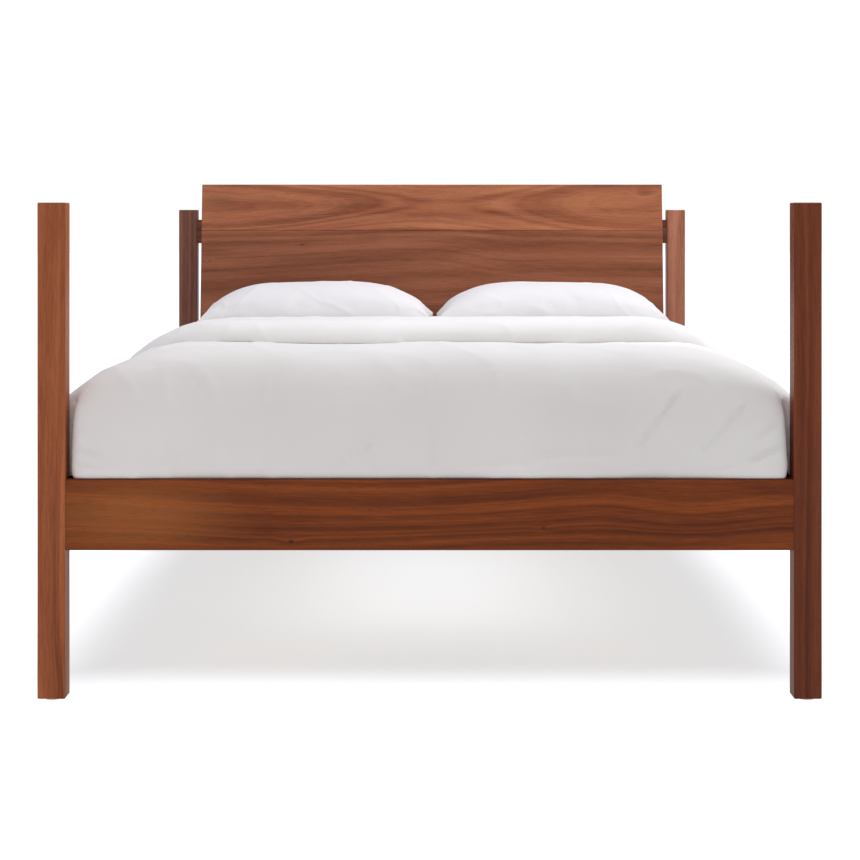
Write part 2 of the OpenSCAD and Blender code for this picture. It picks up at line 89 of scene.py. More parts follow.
def studio():
    world = bpy.data.worlds.new("white_room")
    world.use_nodes = True
    tree = world.node_tree
    tree.nodes.clear()
    path = put(tree, "LightPath")
    soft = put(tree, "Background", values={"Color": linear("#FBFAFF"), "Strength": 0.41})
    shown = put(tree, "Background", values={"Color": (1, 1, 1, 1), "Strength": 1.05})
    mix = put(tree, "MixShader",
              links={0: path.outputs["Is Camera Ray"], 1: soft.outputs[0], 2: shown.outputs[0]})
    put(tree, "OutputWorld", links={"Surface": mix.outputs[0]})
    scene.world = world

    def panel(name, place, aim, size, power, colour="#FFFFFF"):
        bpy.ops.object.light_add(type="AREA", location=place)
        lamp = bpy.context.object
        lamp.name = name
        lamp.data.shape = "RECTANGLE"
        lamp.data.size, lamp.data.size_y = size
        lamp.data.energy = power
        lamp.data.color = linear(colour)[:3]
        away = np.array(place) - np.array(aim)
        flat = math.hypot(away[0], away[1])
        lamp.rotation_euler = (math.atan2(flat, away[2]), 0, math.atan2(away[0], -away[1]))

    panel("overhead_panel", (0.3, 0.1, 3.3), (0, 0, 0.5), (3.2, 3.2), 54, "#F6F8FF")
    panel("right_panel", (3.1, 0.3, 2.9), (0, 0, 0.6), (2.2, 2.2), 64)
    panel("front_panel", (-1.6, -5.5, 2.3), (0, -1, 0.5), (3.0, 2.0), 38, "#FFE8D4")
    # Small low light that lifts the shadow in the middle, under the slats
    panel("floor_panel", (0, 0.2, 0.29), (0, 0.2, 0), (0.6, 1.3), 1.25, "#F4F8FF")
    bpy.context.object.visible_camera = False

    # White painted floor that glows, so it runs into the white room. Its glow is weaker inside the bed's
    # outline: a painted shadow under the bed.
    bpy.ops.mesh.primitive_plane_add(size=120, location=(0, 0, 0))
    floor = bpy.context.object
    floor.name = "studio_floor"
    material, tree = new_material("matt_white_floor_with_painted_shadow")
    place = put(tree, "SeparateXYZ", links={0: put(tree, "TexCoord").outputs["Object"]})
    off = []
    for axis, half in (("X", 0.86), ("Y", 0.90)):
        size = put(tree, "Math", links={0: place.outputs[axis]}, operation="ABSOLUTE")
        past = put(tree, "Math", links={0: size.outputs[0]}, operation="SUBTRACT", values={1: half})
        off.append(past.outputs[0])
    far = put(tree, "Math", links={0: off[0], 1: off[1]}, operation="MAXIMUM")
    # Painted shadow: to the camera the floor's glow falls from 1.0 outside the bed's outline to 0.49 inside
    # it, with a soft edge; to everything else it glows at a flat 0.44
    share = put(tree, "MapRange", links={"Value": far.outputs[0]}, interpolation_type="SMOOTHSTEP",
                values={"From Min": -0.14, "From Max": 0.26, "To Min": 0.49, "To Max": 1.0})
    seen = put(tree, "LightPath").outputs["Is Camera Ray"]
    strength = put(tree, "Mix", links={0: seen, 3: share.outputs[0]}, values={2: 0.44})
    paint = put(tree, "BsdfDiffuse", values={"Color": (0.60, 0.60, 0.61, 1)})
    # The glow is tinted a little blue, which keeps the painted shadow under the bed from looking warm
    glow_with_painted_shadow = put(tree, "Emission", links={"Strength": strength.outputs[0]},
               values={"Color": (0.99, 1.025, 1.07, 1)})
    both = put(tree, "AddShader", links={0: paint.outputs[0], 1: glow_with_painted_shadow.outputs[0]})
    put(tree, "OutputMaterial", links={"Surface": both.outputs[0]})
    floor.data.materials.append(material)
    # The side light is flagged off the floor, so that both sides of the shadow are alike
    flagged = bpy.data.collections.new("flagged_off_the_floor")
    flagged.objects.link(floor)
    flagged.collection_objects[0].light_linking.link_state = "EXCLUDE"
    bpy.data.objects["right_panel"].light_linking.receiver_collection = flagged


studio()


# ---- Materials ----

ALONG_X = (0, 0, 0)
ALONG_Y = (0, 0, math.radians(90))
ALONG_Z = (0, math.radians(-90), 0)


def walnut(name, run, heart, light, mid, dark, ring_mm=7, warp_mm=14, seed=0.0, figure=1.0,
           eyes=(), stains=()):
    """Oiled American walnut, planed and sanded: warm brown with darker growth rings that wander
    along the board, short open pores, a satin skin and a fine fibre you can see at arm's length.
    run turns the grain along the board, heart is a point on the tree's centre line, ring_mm is the
    rings' mean width, warp_mm how far they wander, and figure how strongly they show. eyes are
    places (x, y, z, radius, push) that bend the rings. stains are soft patches
    (x, y, z, rx, ry, rz, colour, strength)."""
    material, tree = new_material(name)
    place = put(tree, "TexCoord").outputs["Object"]
    board = put(tree, "Mapping", links={"Vector": place}, vector_type="TEXTURE",
                values={"Location": heart, "Rotation": run}).outputs[0]
    # The rings wander: long slow waves along the board, shorter ones across it
    slow = put(tree, "Mapping", links={"Vector": board}, vector_type="POINT",
               values={"Location": (seed * 3.1, seed * 1.7, seed), "Scale": (0.8, 3.2, 3.2)})
    wander = put(tree, "TexNoise", links={"Vector": slow.outputs[0]}, noise_dimensions="3D",
                 values={"Scale": 1.0, "Detail": 1.2, "Roughness": 0.45})
    centred = put(tree, "VectorMath", links={0: wander.outputs["Color"]}, operation="SUBTRACT",
                  values={1: (0.5, 0.5, 0.5)})
    pushed = put(tree, "VectorMath", links={0: centred.outputs[0], 2: board}, operation="MULTIPLY_ADD",
                 values={1: (0.0, warp_mm * 0.005, warp_mm * 0.005)})
    across = put(tree, "VectorMath", links={0: pushed.outputs[0]}, operation="MULTIPLY",
                 values={1: (0, 1, 1)})
    radius = put(tree, "VectorMath", links={0: across.outputs[0]}, operation="LENGTH").outputs["Value"]
    for x, y, z, size, push in eyes:
        off = put(tree, "VectorMath", links={0: place}, operation="SUBTRACT", values={1: (x, y, z)})
        long_way = (0.45, 1, 1) if run == ALONG_X else (1, 0.45, 1) if run == ALONG_Y else (1, 1, 0.45)
        round_it = put(tree, "VectorMath", links={0: off.outputs[0]}, operation="MULTIPLY",
                       values={1: long_way})
        far = put(tree, "VectorMath", links={0: round_it.outputs[0]}, operation="LENGTH")
        bend = put(tree, "MapRange", links={"Value": far.outputs["Value"]}, interpolation_type="SMOOTHSTEP",
                   values={"From Min": 0.0, "From Max": size, "To Min": push, "To Max": 0.0})
        radius = put(tree, "Math", links={0: radius, 1: bend.outputs[0]}, operation="ADD").outputs[0]
    # Growth rings of uneven width, read off along the radius
    growth = put(tree, "Math", links={0: radius}, operation="MULTIPLY_ADD",
                 values={1: 1000 / ring_mm * 0.55, 2: seed * 7.3})
    rings = put(tree, "TexNoise", links={"W": growth.outputs[0]}, noise_dimensions="1D",
                values={"Scale": 1.0, "Detail": 3.0, "Roughness": 0.62})
    # Fibre: streaks about 2 mm apart, coarser than real ones so that they show
    fibre_at = put(tree, "VectorMath", links={0: pushed.outputs[0]}, operation="MULTIPLY",
                   values={1: (13, 300, 300)})
    fibre = put(tree, "TexNoise", links={"Vector": fibre_at.outputs[0]}, noise_dimensions="3D",
                values={"Scale": 1.0, "Detail": 3.0, "Roughness": 0.7})
    # Broad bands of heartwood, about 40 mm across
    band_at = put(tree, "VectorMath", links={0: pushed.outputs[0]}, operation="MULTIPLY",
                  values={1: (1.3, 24, 24)})
    band = put(tree, "TexNoise", links={"Vector": band_at.outputs[0]}, noise_dimensions="3D",
               values={"Scale": 1.0, "Detail": 1.5, "Roughness": 0.5})
    blend = put(tree, "Math", links={0: rings.outputs[0]}, operation="MULTIPLY_ADD",
                values={1: 0.44 * figure, 2: 0.22 * (1 - figure)})
    for layer, weight in ((fibre, 0.30), (band, 0.38)):
        blend = put(tree, "Math", links={0: layer.outputs[0], 2: blend.outputs[0]},
                    operation="MULTIPLY_ADD", values={1: weight})
    ramp = put(tree, "ValToRGB", links={"Fac": blend.outputs[0]})
    stops = ramp.color_ramp
    stops.elements[0].position, stops.elements[0].color = 0.41, linear(dark)
    stops.elements[1].position, stops.elements[1].color = 0.71, linear(light)
    middle = stops.elements.new(0.56)
    middle.color = linear(mid)
    colour = ramp.outputs["Color"]
    for x, y, z, rx, ry, rz, tint, strength in stains:
        off = put(tree, "VectorMath", links={0: place}, operation="SUBTRACT", values={1: (x, y, z)})
        shape = put(tree, "VectorMath", links={0: off.outputs[0]}, operation="MULTIPLY",
                    values={1: (1 / rx, 1 / ry, 1 / rz)})
        far = put(tree, "VectorMath", links={0: shape.outputs[0]}, operation="LENGTH")
        ragged = put(tree, "Math", links={0: band.outputs[0], 2: far.outputs["Value"]},
                     operation="MULTIPLY_ADD", values={1: 0.8})
        fade = put(tree, "MapRange", links={"Value": ragged.outputs[0]}, interpolation_type="SMOOTHSTEP",
                   values={"From Min": 0.45, "From Max": 1.5, "To Min": strength, "To Max": 0.0})
        colour = put(tree, "Mix", links={0: fade.outputs[0], 6: colour}, data_type="RGBA",
                     values={7: linear(tint)}).outputs[2]
    # Open pores: dark dashes about 15 mm long
    pore_at = put(tree, "VectorMath", links={0: pushed.outputs[0]}, operation="MULTIPLY",
                  values={1: (45, 620, 620)})
    pores = put(tree, "TexNoise", links={"Vector": pore_at.outputs[0]}, noise_dimensions="3D",
                values={"Scale": 1.0, "Detail": 1.0, "Roughness": 0.5})
    dash = put(tree, "MapRange", links={"Value": pores.outputs[0]},
               values={"From Min": 0.60, "From Max": 0.72, "To Min": 0.0, "To Max": 0.35})
    colour = put(tree, "Mix", links={0: dash.outputs[0], 6: colour}, data_type="RGBA",
                 values={7: linear(dark)}).outputs[2]
    gloss = put(tree, "MapRange", links={"Value": fibre.outputs[0]},
                values={"From Min": 0.3, "From Max": 0.7, "To Min": 0.36, "To Max": 0.47})
    grain = put(tree, "Math", links={0: fibre.outputs[0], 1: dash.outputs[0]}, operation="SUBTRACT")
    bump = put(tree, "Bump", links={"Height": grain.outputs[0]},
               values={"Strength": 0.25, "Distance": 0.0004})
    skin = put(tree, "BsdfPrincipled", links={"Base Color": colour, "Roughness": gloss.outputs[0],
                                               "Normal": bump.outputs[0]},
               values={"IOR": 1.48, "Specular IOR Level": 0.2})
    put(tree, "OutputMaterial", links={"Surface": skin.outputs[0]})
    return material


def sawn_timber(name, run, light, dark, seed=0.0):
    """Poplar or beech, machine planed and left bare: pale, straight, faint rings, no gloss."""
    material, tree = new_material(name)
    place = put(tree, "TexCoord").outputs["Object"]
    board = put(tree, "Mapping", links={"Vector": place}, vector_type="TEXTURE",
                values={"Location": (seed, 0.02 + seed, -0.05), "Rotation": run}).outputs[0]
    slow_at = put(tree, "VectorMath", links={0: board}, operation="MULTIPLY", values={1: (1.5, 30, 30)})
    slow = put(tree, "TexNoise", links={"Vector": slow_at.outputs[0]},
               values={"Scale": 1.0, "Detail": 3.0})
    fibre_at = put(tree, "VectorMath", links={0: board}, operation="MULTIPLY", values={1: (8, 420, 420)})
    fibre = put(tree, "TexNoise", links={"Vector": fibre_at.outputs[0]},
                values={"Scale": 1.0, "Detail": 2.0})
    blend = put(tree, "Math", links={0: slow.outputs[0], 1: fibre.outputs[0]}, operation="ADD")
    share = put(tree, "MapRange", links={"Value": blend.outputs[0]},
                values={"From Min": 0.75, "From Max": 1.25})
    colour = put(tree, "Mix", links={0: share.outputs[0]}, data_type="RGBA",
                 values={6: linear(dark), 7: linear(light)}).outputs[2]
    bump = put(tree, "Bump", links={"Height": fibre.outputs[0]},
               values={"Strength": 0.3, "Distance": 0.0004})
    skin = put(tree, "BsdfPrincipled", links={"Base Color": colour, "Normal": bump.outputs[0]},
               values={"Roughness": 0.72, "IOR": 1.46})
    put(tree, "OutputMaterial", links={"Surface": skin.outputs[0]})
    return material


def zinc_plated_steel():
    """Bright zinc plate on stamped and turned steel: grey, slightly blue, mottled gloss."""
    material, tree = new_material("bright_zinc_plated_steel")
    place = put(tree, "TexCoord").outputs["Object"]
    # Plating mottle about 4 mm across
    mottle = put(tree, "TexNoise", links={"Vector": place}, values={"Scale": 250.0, "Detail": 2.0})
    gloss = put(tree, "MapRange", links={"Value": mottle.outputs[0]},
                values={"To Min": 0.22, "To Max": 0.42})
    tone = put(tree, "Mix", links={0: mottle.outputs[0]}, data_type="RGBA",
               values={6: linear("#A9ADB3"), 7: linear("#C9CBCE")})
    skin = put(tree, "BsdfPrincipled", links={"Base Color": tone.outputs[2], "Roughness": gloss.outputs[0]},
               values={"Metallic": 1.0})
    put(tree, "OutputMaterial", links={"Surface": skin.outputs[0]})
    return material


def powder_coat():
    """Black polyester powder coat on steel tube: deep grey, fine orange peel, satin."""
    material, tree = new_material("black_powder_coated_steel")
    place = put(tree, "TexCoord").outputs["Object"]
    # Orange peel about 2 mm across
    peel = put(tree, "TexNoise", links={"Vector": place}, values={"Scale": 480.0, "Detail": 1.0})
    tone = put(tree, "Mix", links={0: peel.outputs[0]}, data_type="RGBA",
               values={6: linear("#232426"), 7: linear("#2E2F32")})
    bump = put(tree, "Bump", links={"Height": peel.outputs[0]},
               values={"Strength": 0.35, "Distance": 0.0003})
    skin = put(tree, "BsdfPrincipled", links={"Base Color": tone.outputs[2], "Normal": bump.outputs[0]},
               values={"Roughness": 0.42, "IOR": 1.5})
    put(tree, "OutputMaterial", links={"Surface": skin.outputs[0]})
    return material


def moulded_nylon():
    """Natural nylon, injection moulded: milky, waxy, very slightly mottled."""
    material, tree = new_material("moulded_natural_nylon")
    place = put(tree, "TexCoord").outputs["Object"]
    cloudy = put(tree, "TexNoise", links={"Vector": place}, values={"Scale": 90.0, "Detail": 2.0})
    tone = put(tree, "Mix", links={0: cloudy.outputs[0]}, data_type="RGBA",
               values={6: linear("#CFC9BD"), 7: linear("#E2DED4")})
    bump = put(tree, "Bump", links={"Height": cloudy.outputs[0]},
               values={"Strength": 0.1, "Distance": 0.0005})
    skin = put(tree, "BsdfPrincipled", links={"Base Color": tone.outputs[2], "Normal": bump.outputs[0]},
               values={"Roughness": 0.48, "IOR": 1.53, "Subsurface Weight": 0.08})
    put(tree, "OutputMaterial", links={"Surface": skin.outputs[0]})
    return material


def cotton(name, light, shade, thread_mm=2.2, crease_mm=70, crease=0.35, weave=0.12, seed=0.0):
    """Washed cotton percale: matt white with a soft bloom, a plain weave, and faint crinkles
    left from the wash. The real threads are 0.2 mm apart; they are drawn coarser so they show."""
    material, tree = new_material(name)
    place = put(tree, "TexCoord").outputs["Object"]
    # A band wave of scale 314 repeats every millimetre
    scale = 314.0 / thread_mm
    warp = put(tree, "TexWave", links={"Vector": place}, wave_type="BANDS", bands_direction="X",
               values={"Scale": scale, "Distortion": 1.2, "Detail": 1.0, "Detail Scale": 2.0})
    weft = put(tree, "TexWave", links={"Vector": place}, wave_type="BANDS", bands_direction="DIAGONAL",
               values={"Scale": scale / 1.7, "Distortion": 1.2, "Detail": 1.0, "Detail Scale": 2.0})
    threads = put(tree, "Math", links={0: warp.outputs["Fac"], 1: weft.outputs["Fac"]},
                  operation="MULTIPLY")
    moved = put(tree, "Mapping", links={"Vector": place}, values={"Location": (seed, seed * 2, 0)})
    crinkle = put(tree, "TexNoise", links={"Vector": moved.outputs[0]},
                  values={"Scale": 1000 / crease_mm, "Detail": 4.0, "Roughness": 0.52, "Distortion": 0.6})
    cloud = put(tree, "TexNoise", links={"Vector": moved.outputs[0]},
                values={"Scale": 3.2, "Detail": 2.0})
    share = put(tree, "MapRange", links={"Value": cloud.outputs[0]},
                values={"From Min": 0.3, "From Max": 0.7})
    tone = put(tree, "Mix", links={0: share.outputs[0]}, data_type="RGBA",
               values={6: linear(shade), 7: linear(light)})
    woven = put(tree, "Mix", links={0: threads.outputs[0], 6: tone.outputs[2]}, data_type="RGBA",
                blend_type="MULTIPLY", values={7: (0.975, 0.975, 0.975, 1)})
    low = put(tree, "Bump", links={"Height": crinkle.outputs[0]},
              values={"Strength": crease, "Distance": 0.006})
    fine = put(tree, "Bump", links={"Height": threads.outputs[0], "Normal": low.outputs[0]},
               values={"Strength": weave, "Distance": 0.0005})
    skin = put(tree, "BsdfPrincipled", links={"Base Color": woven.outputs[2], "Normal": fine.outputs[0]},
               values={"Roughness": 0.88, "IOR": 1.45, "Sheen Weight": 0.12, "Sheen Roughness": 0.5})
    put(tree, "OutputMaterial", links={"Surface": skin.outputs[0]})
    return material


def finish_node(material, *names):
    """Gives CAD pieces their finish."""
    for name in names:
        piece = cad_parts[name]
        piece.data.materials.clear()
        piece.data.materials.append(material)


finish_node(walnut("oiled_walnut_foot_post_left", ALONG_Z, (-0.86, -1.02, 0.5),
                   "#B76C43", "#9B5632", "#763A1C",
                   ring_mm=9, seed=1.3), "foot_post_left")
finish_node(walnut("oiled_walnut_foot_post_right", ALONG_Z, (0.90, -1.02, 0.5),
                   "#894A2C", "#73391F", "#572611",
                   ring_mm=8, seed=2.9), "foot_post_right")
finish_node(walnut("oiled_walnut_foot_rail", ALONG_X, (0, -1.02, 0.22), "#944A1D", "#783811", "#55240A",
                   ring_mm=10, warp_mm=26, seed=4.1,
                   eyes=((-0.25, -1.107, 0.36, 0.30, 0.022), (-0.298, -1.107, 0.340, 0.022, 0.006),
                         (0.56, -1.107, 0.412, 0.10, 0.020), (0.245, -1.107, 0.370, 0.015, 0.005)),
                   stains=((-0.741, -1.107, 0.407, 0.05, 0.1, 0.03, "#4A2414", 0.5),
                           (-0.298, -1.107, 0.341, 0.010, 0.02, 0.005, "#331508", 0.9),
                           (0.245, -1.107, 0.370, 0.006, 0.02, 0.004, "#3A190B", 0.8),
                           (-0.64, -1.107, 0.400, 0.26, 0.1, 0.10, "#B26A34", 0.55))), "foot_rail")
finish_node(walnut("oiled_walnut_head_post_left", ALONG_Z, (-0.90, 1.15, 0.5),
                   "#956352", "#7F5243", "#60392C",
                   ring_mm=9, seed=5.7), "head_post_left")
finish_node(walnut("oiled_walnut_head_post_right", ALONG_Z, (0.90, 1.15, 0.5),
                   "#C08268", "#AB6F54", "#87523B",
                   ring_mm=9, seed=6.3), "head_post_right")
finish_node(walnut("oiled_walnut_headboard_upper", ALONG_X, (0, 1.10, 1.085),
                   "#BA7852", "#A06042", "#79432A",
                   ring_mm=10, warp_mm=20, seed=7.9,
                   eyes=((-0.06, 1.03, 1.10, 0.33, 0.048), (0.705, 1.03, 1.122, 0.03, 0.012)),
                   stains=((-0.700, 1.03, 1.100, 0.07, 0.1, 0.030, "#7A4A36", 0.45),
                           (0.705, 1.03, 1.124, 0.05, 0.1, 0.014, "#70412E", 0.5),
                           (0.560, 1.03, 1.085, 0.20, 0.1, 0.016, "#C28150", 0.35))),
            "headboard_upper_board")
finish_node(walnut("oiled_walnut_headboard_lower", ALONG_X, (0.1, 1.14, 0.78),
                   "#A3664A", "#8B5238", "#683A26",
                   ring_mm=11, warp_mm=18, seed=9.2, figure=0.7,
                   eyes=((-0.429, 1.0, 0.954, 0.02, 0.010), (-0.733, 1.0, 0.901, 0.02, 0.010),
                         (-0.531, 1.0, 0.832, 0.02, 0.010), (0.25, 1.0, 0.93, 0.12, 0.020)),
                   stains=((-0.429, 1.0, 0.954, 0.012, 0.1, 0.005, "#4F2C1E", 0.8),
                           (-0.733, 1.0, 0.901, 0.010, 0.1, 0.004, "#4F2C1E", 0.7),
                           (0.45, 1.0, 0.93, 0.30, 0.2, 0.05, "#97573A", 0.35))),
            "headboard_lower_board")
finish_node(walnut("oiled_walnut_crossbars", ALONG_X, (0, 1.2, 0.8),
                   "#8A5640", "#70442F", "#553122", seed=3.4),
            "upper_crossbar", "lower_crossbar", "head_rail")
finish_node(walnut("oiled_walnut_side_rails", ALONG_Y, (0.7, 0, 0.3), "#95603C", "#7A472B", "#573019",
                   ring_mm=9, warp_mm=20, seed=8.8), "side_rail_left", "side_rail_right")
finish_node(walnut("oiled_walnut_battens", ALONG_Z, (0.1, 1.2, 0.8),
                   "#8A5640", "#70442F", "#553122", seed=6.6),
            "batten_left", "batten_centre", "batten_right")
slats = [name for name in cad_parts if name.startswith("slat_0") or name.startswith("slat_1")]
finish_node(sawn_timber("planed_poplar_slats", ALONG_X, "#DCC39A", "#BFA377", seed=0.3), *slats)
finish_node(sawn_timber("planed_poplar_ledges", ALONG_Y, "#D8BE94", "#BB9E72", seed=0.7),
            "slat_ledge_left", "slat_ledge_right")
finish_node(sawn_timber("turned_beech_dowels", ALONG_Z, "#D9B98C", "#C19B6B", seed=0.5), "headboard_dowels")
finish_node(zinc_plated_steel(), "batten_screws", "crossbar_screws", "ledge_screws", "slat_screws",
            "bracket_screws", "plate_screws", "rail_hook_plates", "post_slot_plates")
finish_node(powder_coat(), "centre_beam", "beam_bracket_foot", "beam_bracket_head")
finish_node(moulded_nylon(), "glide_foot_left", "glide_foot_right", "glide_head_left", "glide_head_right")


# ---- Soft goods: shared work ----

def soft_piece(name, points, faces, material):
    mesh = bpy.data.meshes.new(name)
    mesh.from_pydata([tuple(p) for p in points], [], [tuple(f) for f in faces])
    mesh.update()
    mesh.materials.append(material)
    piece = bpy.data.objects.new(name, mesh)
    scene.collection.objects.link(piece)
    mesh.polygons.foreach_set("use_smooth", [True] * len(mesh.polygons))
    return piece


def skin_of(body, low, high, step):
    """Closed skin, in even quads, round the space where body(x, y, z) is below zero."""
    axes = [np.arange(a, b + step, step) for a, b in zip(low, high)]
    depth = body(*np.meshgrid(*axes, indexing="ij"))
    inside = depth < 0
    shape = np.array(depth.shape)
    total = np.zeros((*(shape - 1), 3))
    count = np.zeros(shape - 1)
    for axis in range(3):
        near = [slice(0, -1) if a == axis else slice(None) for a in range(3)]
        far = [slice(1, None) if a == axis else slice(None) for a in range(3)]
        cut = inside[tuple(near)] != inside[tuple(far)]
        d0, d1 = depth[tuple(near)], depth[tuple(far)]
        where = np.where(cut, d0 / np.where(cut, d0 - d1, 1), 0)
        u, v = [a for a in range(3) if a != axis]
        for du in (0, 1):
            for dv in (0, 1):
                pick = [slice(None)] * 3
                pick[u] = slice(du, shape[u] - 1 + du)
                pick[v] = slice(dv, shape[v] - 1 + dv)
                hit = cut[tuple(pick)]
                count += hit
                total[..., axis] += hit * where[tuple(pick)]
                total[..., u] += hit * du
                total[..., v] += hit * dv
    used = count > 0
    number = np.full(used.shape, -1)
    number[used] = np.arange(used.sum())
    cell = np.argwhere(used)
    points = np.array(low) + (cell + total[used] / count[used][:, None]) * step
    faces = []
    for axis in range(3):
        u, v = [(1, 2), (2, 0), (0, 1)][axis]
        near = [slice(0, -1) if a == axis else slice(1, -1) for a in range(3)]
        far = [slice(1, None) if a == axis else slice(1, -1) for a in range(3)]
        here, there = inside[tuple(near)], inside[tuple(far)]
        for turn, flip in ((here & ~there, False), (~here & there, True)):
            at = np.argwhere(turn)
            at[:, u] += 1
            at[:, v] += 1
            ring = []
            for du, dv in ((0, 0), (1, 0), (1, 1), (0, 1)):
                c = at.copy()
                c[:, u] -= du
                c[:, v] -= dv
                ring.append(number[c[:, 0], c[:, 1], c[:, 2]])
            if flip:
                ring.reverse()
            faces.append(np.stack(ring, axis=1))
    return points, np.concatenate(faces)


def get_points(piece):
    flat = np.empty(len(piece.data.vertices) * 3)
    piece.data.vertices.foreach_get("co", flat)
    return flat.reshape(-1, 3)


def set_points(piece, points):
    piece.data.vertices.foreach_set("co", np.asarray(points, dtype=float).ravel())
    piece.data.update()


def apply_all(piece):
    bpy.ops.object.select_all(action="DESELECT")
    piece.select_set(True)
    bpy.context.view_layer.objects.active = piece
    for modifier in list(piece.modifiers):
        bpy.ops.object.modifier_apply(modifier=modifier.name)


def smooth_out(piece, rounds):
    modifier = piece.modifiers.new("settle", "SMOOTH")
    modifier.iterations = rounds
    modifier.factor = 0.5
    apply_all(piece)


def subdivide(piece):
    modifier = piece.modifiers.new("finer", "SUBSURF")
    modifier.levels = modifier.render_levels = 1
    apply_all(piece)


def puff(piece, frames, cap, bend=2.0):
    """Fills a soft piece with air as cloth, gravity off, and keeps each point within cap of its start."""
    start = get_points(piece)
    modifier = piece.modifiers.new("cloth", "CLOTH")
    cloth = modifier.settings
    cloth.quality = 6
    cloth.mass = 0.25
    cloth.tension_stiffness = cloth.compression_stiffness = 12.0
    cloth.shear_stiffness = 4.0
    cloth.bending_stiffness = bend
    cloth.use_pressure = True
    cloth.uniform_pressure_force = 3.0
    # The cloth is cut 2 % larger than its shape
    cloth.shrink_min = -0.02
    cloth.effector_weights.gravity = 0.0
    modifier.collision_settings.use_collision = False
    modifier.point_cache.frame_start = 1
    modifier.point_cache.frame_end = frames
    for step in range(1, frames + 1):
        scene.frame_set(step)
    graph = bpy.context.evaluated_depsgraph_get()
    moved = np.array([v.co[:] for v in piece.evaluated_get(graph).data.vertices])
    piece.modifiers.remove(modifier)
    scene.frame_set(1)
    way = moved - start
    far = np.linalg.norm(way, axis=1, keepdims=True)
    way *= np.minimum(1, cap / np.maximum(far, 1e-9))
    set_points(piece, start + way)


def wrinkle(piece, size, height, seed):
    """Faint ridges and hollows that stay in washed cotton: they wander, and run a little aslant."""
    p = get_points(piece)
    normals = np.empty(len(p) * 3)
    piece.data.vertices.foreach_get("normal", normals)
    rise = np.empty(len(p))
    for i, (x, y, z) in enumerate(p):
        at = Vector((x + 0.6 * y, 0.55 * y - 0.3 * x, 0.8 * z)) / size + Vector((seed, 2 * seed, 0))
        at += 0.5 * noise.noise_vector(at * 0.7)
        ridge = 1 - min(abs(noise.noise(at)) * 3.0, 1)
        rise[i] = ridge ** 3 + 0.8 * noise.noise(at * 0.5)
    set_points(piece, p + normals.reshape(-1, 3) * (height * rise)[:, None])


def bigger(a, b, soft):
    """The larger of two depths, with the corner between them rounded."""
    share = np.clip(0.5 + 0.5 * (a - b) / soft, 0, 1)
    return b * (1 - share) + a * share + soft * share * (1 - share)


def smaller(a, b, soft):
    return -bigger(-a, -b, soft)


def ease(value, start, end):
    t = np.clip((value - start) / (end - start), 0, 1)
    return t * t * (3 - 2 * t)


def arch(across, up, half, reach, spring, top, power=2.0):
    """Depth below an arch: straight sides at half, and shoulders that are quarters of an ellipse,
    or squarer with a higher power."""
    u = np.maximum(np.abs(across) - (half - reach), 0) / reach
    v = np.maximum(up - spring, 0) / (top - spring)
    r = (u ** power + v ** power) ** (1 / power)
    slope = np.sqrt((u ** (power - 1) / reach) ** 2 + (v ** (power - 1) / (top - spring)) ** 2)
    slope = slope / np.maximum(r, 1e-6) ** (power - 1)
    slope = np.where(r < 0.05, 1 / np.minimum(reach, top - spring), slope)
    return (r - 1) / slope


# ---- Mattress and fitted sheet ----

CORNER_R = 0.05

mattress_low, mattress_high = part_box("mattress")
sheet_low, sheet_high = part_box("fitted_sheet")
foot_y = sheet_low[1]
top_z = sheet_high[2]


def make_mattress():
    low, high = np.array(mattress_low), np.array(mattress_high)
    middle, size = (low + high) / 2, high - low
    bpy.ops.object.select_all(action="DESELECT")
    bpy.ops.mesh.primitive_cube_add(size=1, location=middle, scale=size)
    piece = bpy.context.object
    piece.name = "mattress_body"
    bpy.ops.object.transform_apply(location=True, rotation=False, scale=True)
    bpy.ops.object.mode_set(mode="EDIT")
    bpy.ops.mesh.select_mode(type="EDGE")
    bpy.ops.mesh.select_all(action="DESELECT")
    bpy.ops.object.mode_set(mode="OBJECT")
    # The four upright edges are rounded first
    for edge in piece.data.edges:
        a, b = (piece.data.vertices[i].co for i in edge.vertices)
        edge.select = abs(a.z - b.z) > 0.1
    bpy.ops.object.mode_set(mode="EDIT")
    bpy.ops.mesh.bevel(offset=CORNER_R, segments=6)
    bpy.ops.object.mode_set(mode="OBJECT")
    rounded = piece.modifiers.new("edges", "BEVEL")
    rounded.width = 0.024
    rounded.segments = 3
    rounded.limit_method = "ANGLE"
    apply_all(piece)
    for polygon in piece.data.polygons:
        polygon.use_smooth = True
    piece.data.materials.append(cotton("knitted_mattress_ticking", "#EDEDEA", "#E2E2DE", thread_mm=5,
                                       crease_mm=45, crease=0.25, weave=0.3))
    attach(piece, "mattress")
    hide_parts("mattress")


make_mattress()


